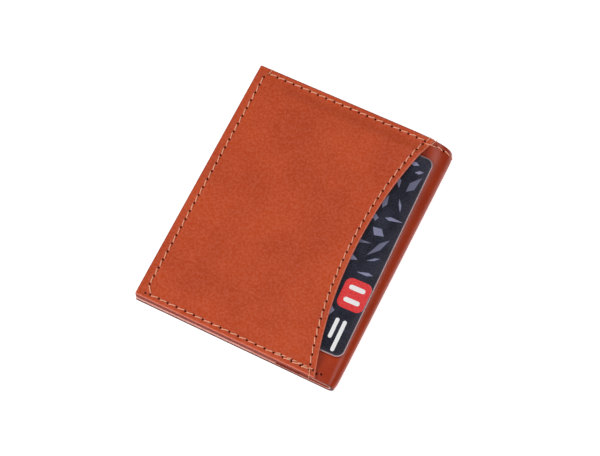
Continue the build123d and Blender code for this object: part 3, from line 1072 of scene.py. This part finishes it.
def edge_loop(hole, out_e, edge_y):
    """A thread from a hole on the outer pocket over the edge of the back half and back to its lining."""
    (e, y), over = hole, 0.24 * (1 if edge_y > 0 else -1)
    top = float(panel_top(e, y))
    under = lining_depth(e)
    path = through([
        (e, y, top + 0.35), (e + 0.05, y + over, top - 0.12), ((e + out_e) / 2, (y + edge_y) / 2, top - 0.14),
        (out_e, edge_y - over, top - 0.12), (out_e, edge_y + 0.6 * over, top + 0.12),
        (out_e, edge_y + over, top + 0.6), (out_e, edge_y + over, under - 0.4),
        (out_e, edge_y + 0.6 * over, under + 0.1), (out_e, edge_y - 3 * over, under + 0.15)], 33)
    return path, np.array([1.0, 0, 0])


def step_down():
    """The long stitch from the outer pocket's far corner down to the shell beside it."""
    y = far_line - 0.9
    path = through([(71.0, y, -PANEL + 0.3), (71.3, y, -PANEL - 0.14), (73.2, y + 0.3, -PANEL - 0.15),
                    (74.3, y + 0.5, -0.25), (75.6, y + 0.7, -0.14), (75.9, y + 0.8, 0.3)], 21)
    return path, np.array([0, 1.0, 0])


def seam(name, runs, nodes, place=lay, body=None, stretch=None, loops=()):
    """A seam's thread, which stands for CAD nodes and rides with a body, or for a stretch only has its
    transform baked by bend().
    """
    piece = thread(name, runs, THREAD, place, loops)
    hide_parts(*nodes)
    return bend(piece, stretch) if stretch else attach(piece, body)


front_far = [h for h in shell_far_holes if h[0] < SPLITS[0]]
fold_far = [h for h in shell_far_holes if SPLITS[0] - 2.2 < h[0] < SPLITS[1] + 2.2]
back_far = [h for h in shell_far_holes if h[0] > SPLITS[1]]
inner_far = [(e, y) for e, y in shell_far_holes if e < HALF_FLAT - 1]

seam("front_free_edge_seam_thread",
     [(shell_free_holes, at_depth(0), -1, ASIDE), (lining_free_holes, lining, 1, ASIDE)],
     ["front_free_edge_seam"], body="front_half")
seam("front_far_end_seam_thread",
     [(front_far, at_depth(0), -1, ASIDE), (inner_far, lining, 1, ASIDE)],
     ["front_far_end_seam"], stretch="front")
seam("spine_seam_thread",
     [(fold_far, at_depth(0), -1, ASIDE), (fold_far, at_depth(DIVIDER[1]), 1, ASIDE)],
     ["spine_seam_1", "spine_seam_2"], stretch="spine")
seam("back_far_end_seam_fold_thread",
     [(back_far, at_depth(0), -1, ASIDE)], [], stretch="back")
seam("back_far_end_seam_thread",
     [(far_holes, panel_top, -1, ASIDE), (inner_far, lining, 1, ASIDE)],
     ["back_far_end_seam"], place=lay_back, body="back_half",
     loops=[edge_loop((4.5, far_line - 0.3), 5.0, FAR_Y), edge_loop((71.2, far_line), 71.8, FAR_Y),
            edge_loop((73.4, far_line - 0.7), 74.6, FAR_Y), step_down()])
seam("back_free_edge_seam_thread",
     [(free_holes, panel_top, -1, ASIDE), (lining_free_holes, lining, 1, ASIDE),
      (corner_holes, panel_top, -1, 0.1)],
     ["back_free_edge_seam"], place=lay_back, body="back_half")
seam("pocket_near_seam_thread",
     [(near_holes, panel_top, -1, -ASIDE), (back_stitch, panel_top, -1, ASIDE)],
     ["pocket_near_seam"], place=lay_back, body="back_half",
     loops=[edge_loop((71.6, near_line + 0.4), 72.5, NEAR_Y)])
seam("pocket_mouth_seam_thread",
     [(mouth_holes, panel_top, -1, 2 * ASIDE)],
     ["pocket_mouth_seam"], place=lay_back, body="back_half")
for half, place in (("front", lay), ("back", lay_back)):
    seam(f"{half}_slot_near_seam_thread", [(slot_near_holes, lining, 1, -ASIDE)],
         [f"{half}_slot_near_seam"], place=place, body=f"{half}_half")

# -------- floor, light and camera


def floor():
    """A plain pale floor that only sets the stage."""
    mesh = bpy.data.meshes.new("floor")
    mesh.from_pydata([(-3, -3, 0), (3, -3, 0), (3, 3, 0), (-3, 3, 0)], [], [(0, 1, 2, 3)])
    shader = Shader("floor_paper")
    shader.feed(shader.surface, {
        "Base Color": (0.86, 0.86, 0.87, 1), "Roughness": 0.9, "Specular IOR Level": 0.1,
        "Emission Color": (1, 1, 1, 1), "Emission Strength": 0.6})
    mesh.materials.append(shader.material)
    made = bpy.data.objects.new("floor", mesh)
    bpy.context.scene.collection.objects.link(made)


def softbox(name, place, size, power):
    """A rectangular light that faces the wallet."""
    light = bpy.data.lights.new(name, "AREA")
    light.shape, light.size, light.size_y, light.energy = "RECTANGLE", size[0], size[1], power
    lamp = bpy.data.objects.new(name, light)
    lamp.location = place
    lamp.rotation_euler = (-Vector(place)).to_track_quat("-Z", "Y").to_euler()
    bpy.context.scene.collection.objects.link(lamp)


def world(strength):
    """Even white light from all round."""
    made = bpy.data.worlds.new("studio")
    made.use_nodes = True
    made.node_tree.nodes["Background"].inputs["Color"].default_value = (1, 1, 1, 1)
    made.node_tree.nodes["Background"].inputs["Strength"].default_value = strength
    bpy.context.scene.world = made


def camera():
    """At the photograph's angle: nearly overhead, turned a little, with a long lens."""
    azimuth, elevation = math.radians(26.53), math.radians(68.29)
    back = Vector((math.sin(azimuth) * math.cos(elevation), -math.cos(azimuth) * math.cos(elevation),
                   math.sin(elevation)))
    data = bpy.data.cameras.new("camera")
    data.sensor_width, data.lens = 36.0, 190.51
    data.clip_start, data.clip_end = 0.1, 20
    made = bpy.data.objects.new("camera", data)
    made.location = Vector((0.00067, 0.00113, 0)) + back * 1.2
    made.rotation_euler = (-back).to_track_quat("-Z", "Y").to_euler()
    bpy.context.scene.collection.objects.link(made)
    bpy.context.scene.camera = made


floor()
world(0.16)
softbox("strip", (0.30, 0.28, 0.80), (0.9, 0.3), 2.3)
softbox("window", (0.34, -0.80, 0.65), (0.9, 0.5), 4.2)
softbox("fill", (-0.9, -0.25, 0.7), (0.5, 0.5), 8.0)
camera()
bpy.context.scene.view_settings.view_transform = "Standard"
